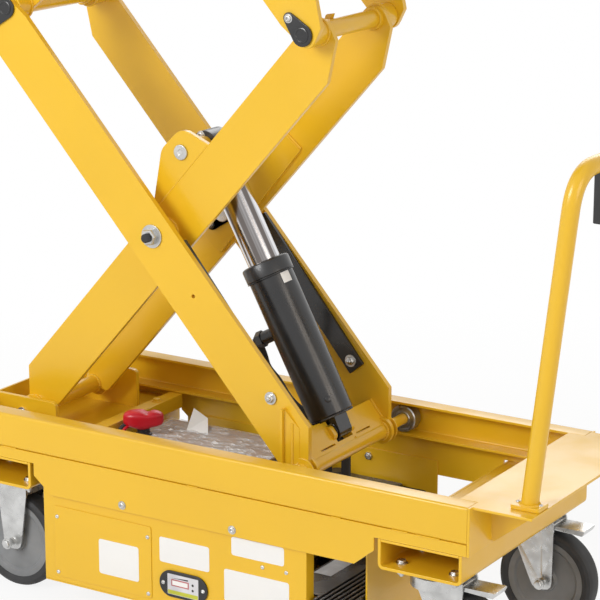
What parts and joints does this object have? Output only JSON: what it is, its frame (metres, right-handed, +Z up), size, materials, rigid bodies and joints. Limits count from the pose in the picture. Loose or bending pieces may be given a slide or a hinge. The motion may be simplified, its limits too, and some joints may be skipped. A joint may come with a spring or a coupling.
{
  "type": "scissor lift table",
  "caption": "Mobile double scissor lift table raised by a hydraulic cylinder, on castors, with a battery power box under the frame and a push handle.",
  "frame": {"origin": "on the floor under the middle of the table's outline", "axes": "+Z up, +X towards the push handle and swivel castors, -Y towards the side with the battery gauge"},
  "size_m": [1.38, 0.53, 2.0433],
  "materials": {
    "yellow_paint": "gloss yellow powder coat",
    "black_paint": "gloss black paint",
    "black_plastic": "satin black plastic",
    "chrome": "hard chrome plated rod",
    "zinc": "bright zinc plate",
    "steel": "bare machined steel",
    "tyre": "solid rubber tyre",
    "hose_rubber": "matt rubber hose",
    "red_plastic": "gloss red plastic",
    "green_plastic": "gloss green plastic",
    "grey_plastic": "matt grey battery case"
  },
  "bodies": {
    "base": {"rail_near": "yellow_paint", "rail_far": "yellow_paint", "side_skirt_near": "yellow_paint", "side_skirt_far": "yellow_paint", "castor_channel_front": "yellow_paint", "castor_channel_rear": "yellow_paint", "handle_shelf": "yellow_paint", "hinge_bracket": "yellow_paint", "near_panel": "yellow_paint", "box_pan": "yellow_paint", "service_cover": "yellow_paint", "gauge_bezel": "black_plastic", "battery": "grey_plastic", "terminal_cover": "red_plastic", "pump_unit": "black_paint", "oil_tank": "black_paint", "hydraulic_hose": "hose_rubber", "charger": "black_paint", "charger_bracket": "yellow_paint", "castor_plate_near": "zinc", "castor_plate_far": "zinc", "fixed_fork_near": "zinc", "fixed_fork_far": "zinc", "handle": "yellow_paint", "control_box": "black_plastic"},
    "lower_inner_arms": {"lower_inner_arms": "yellow_paint", "ear_pin_near": "zinc", "ear_pin_far": "zinc"},
    "lower_outer_arms": {"lower_outer_arms": "yellow_paint", "lower_centre_pin_near": "zinc", "lower_centre_pin_far": "zinc", "barrel_pin": "zinc", "rear_lock_pin_near": "black_paint", "rear_lock_pin_far": "black_paint"},
    "upper_outer_arms": {"upper_outer_arms": "yellow_paint", "upper_centre_pin_near": "zinc", "upper_centre_pin_far": "zinc", "front_lock_pin_near": "black_paint", "front_lock_pin_far": "black_paint"},
    "upper_inner_arms": {"upper_inner_arms": "yellow_paint"},
    "platform": {"platform": "yellow_paint"},
    "lift_barrel": {"lift_barrel": "black_paint"},
    "lift_rod": {"lift_rod": "chrome"},
    "lower_roller_near": {"lower_roller_near": "steel"},
    "upper_roller_near": {"upper_roller_near": "steel"},
    "maintenance_bar_near": {"maintenance_bar_near": "black_paint"},
    "castor_fork_near": {"castor_fork_near": "zinc"},
    "front_wheel_near": {"front_wheel_near": "tyre"},
    "rear_wheel_near": {"rear_wheel_near": "tyre"},
    "brake_pedal_near": {"brake_pedal_near": "zinc"},
    "lower_roller_far": {"lower_roller_far": "steel"},
    "upper_roller_far": {"upper_roller_far": "steel"},
    "maintenance_bar_far": {"maintenance_bar_far": "black_paint"},
    "castor_fork_far": {"castor_fork_far": "zinc"},
    "front_wheel_far": {"front_wheel_far": "tyre"},
    "rear_wheel_far": {"rear_wheel_far": "tyre"},
    "brake_pedal_far": {"brake_pedal_far": "zinc"},
    "up_button": {"up_button": "green_plastic"},
    "down_button": {"down_button": "black_plastic"},
    "emergency_stop": {"emergency_stop": "red_plastic"}
  },
  "joints": [
    {"name": "lift", "type": "hinge", "parent": "base", "child": "lower_inner_arms", "pos_m": [-0.606, 0, 0.3528], "axis": [0, -1, 0], "range_deg": [-34, 0]},
    {"name": "lower_cross", "type": "hinge", "parent": "lower_inner_arms", "child": "lower_outer_arms", "pos_m": [-0.26578, 0, 0.76699], "axis": [0, -1, 0], "range_deg": [0, 68.1]},
    {"name": "front_mid_joint", "type": "hinge", "parent": "lower_inner_arms", "child": "upper_outer_arms", "pos_m": [0.07443, 0, 1.18117], "axis": [0, -1, 0], "range_deg": [0, 68.1]},
    {"name": "upper_cross", "type": "hinge", "parent": "upper_outer_arms", "child": "upper_inner_arms", "pos_m": [-0.26578, 0, 1.59536], "axis": [0, -1, 0], "range_deg": [-68.1, 0]},
    {"name": "platform_hinge", "type": "hinge", "parent": "upper_outer_arms", "child": "platform", "pos_m": [-0.606, 0, 2.00954], "axis": [0, -1, 0], "range_deg": [-34.01, 0]},
    {"name": "barrel_pivot", "type": "hinge", "parent": "lower_outer_arms", "child": "lift_barrel", "pos_m": [0.05785, 0, 0.39094], "axis": [0, -1, 0], "range_deg": [-8.17, 0]},
    {"name": "rod_slide", "type": "slide", "parent": "lift_barrel", "child": "lift_rod", "axis": [-0.475, 0, 0.88], "range_m": [-0.16873, 0]},
    {"name": "lower_roller_near", "type": "hinge", "parent": "lower_outer_arms", "child": "lower_roller_near", "pos_m": [0.07443, -0.239, 0.3528], "axis": [0, -1, 0], "continuous": true},
    {"name": "upper_roller_near", "type": "hinge", "parent": "upper_inner_arms", "child": "upper_roller_near", "pos_m": [0.07443, -0.239, 2.00954], "axis": [0, -1, 0], "continuous": true},
    {"name": "maintenance_bar_near", "type": "hinge", "parent": "lower_outer_arms", "child": "maintenance_bar_near", "pos_m": [0.00445, -0.14, 0.48684], "axis": [0, 1, 0], "range_deg": [0, 40]},
    {"name": "castor_swivel_near", "type": "hinge", "parent": "base", "child": "castor_fork_near", "pos_m": [0.385, -0.186, 0.12], "axis": [0, 0, 1], "continuous": true},
    {"name": "front_wheel_spin_near", "type": "hinge", "parent": "castor_fork_near", "child": "front_wheel_near", "pos_m": [0.43, -0.186, 0.1], "axis": [0, -1, 0], "continuous": true},
    {"name": "rear_wheel_spin_near", "type": "hinge", "parent": "base", "child": "rear_wheel_near", "pos_m": [-0.585, -0.186, 0.1], "axis": [0, -1, 0], "continuous": true},
    {"name": "brake_pedal_near", "type": "hinge", "parent": "castor_fork_near", "child": "brake_pedal_near", "pos_m": [0.443, -0.186, 0.213], "axis": [0, 1, 0], "range_deg": [0, 8]},
    {"name": "lower_roller_far", "type": "hinge", "parent": "lower_outer_arms", "child": "lower_roller_far", "pos_m": [0.07443, 0.239, 0.3528], "axis": [0, -1, 0], "continuous": true},
    {"name": "upper_roller_far", "type": "hinge", "parent": "upper_inner_arms", "child": "upper_roller_far", "pos_m": [0.07443, 0.239, 2.00954], "axis": [0, -1, 0], "continuous": true},
    {"name": "maintenance_bar_far", "type": "hinge", "parent": "lower_outer_arms", "child": "maintenance_bar_far", "pos_m": [0.00445, 0.14, 0.48684], "axis": [0, 1, 0], "range_deg": [0, 40]},
    {"name": "castor_swivel_far", "type": "hinge", "parent": "base", "child": "castor_fork_far", "pos_m": [0.385, 0.186, 0.12], "axis": [0, 0, 1], "continuous": true},
    {"name": "front_wheel_spin_far", "type": "hinge", "parent": "castor_fork_far", "child": "front_wheel_far", "pos_m": [0.43, 0.186, 0.1], "axis": [0, -1, 0], "continuous": true},
    {"name": "rear_wheel_spin_far", "type": "hinge", "parent": "base", "child": "rear_wheel_far", "pos_m": [-0.585, 0.186, 0.1], "axis": [0, -1, 0], "continuous": true},
    {"name": "brake_pedal_far", "type": "hinge", "parent": "castor_fork_far", "child": "brake_pedal_far", "pos_m": [0.443, 0.186, 0.213], "axis": [0, 1, 0], "range_deg": [0, 8]},
    {"name": "up_button", "type": "slide", "parent": "base", "child": "up_button", "axis": [-1, 0, 0], "range_m": [0, 0.004], "stiffness_N_per_m": 400, "springref_m": -0.001},
    {"name": "down_button", "type": "slide", "parent": "base", "child": "down_button", "axis": [-1, 0, 0], "range_m": [0, 0.004], "stiffness_N_per_m": 400, "springref_m": -0.001},
    {"name": "emergency_stop", "type": "slide", "parent": "base", "child": "emergency_stop", "axis": [-1, 0, 0], "range_m": [0, 0.005]}
  ],
  "couplings": [
    {"joint": "lower_cross", "follows": "lift", "ratio": -2},
    {"joint": "front_mid_joint", "follows": "lift", "ratio": -2},
    {"joint": "upper_cross", "follows": "lift", "ratio": 2},
    {"joint": "platform_hinge", "follows": "lift", "ratio": 1},
    {"joint": "barrel_pivot", "follows": "lift", "ratio": 0.24},
    {"joint": "rod_slide", "follows": "lift", "m_per_rad": 0.284}
  ]
}
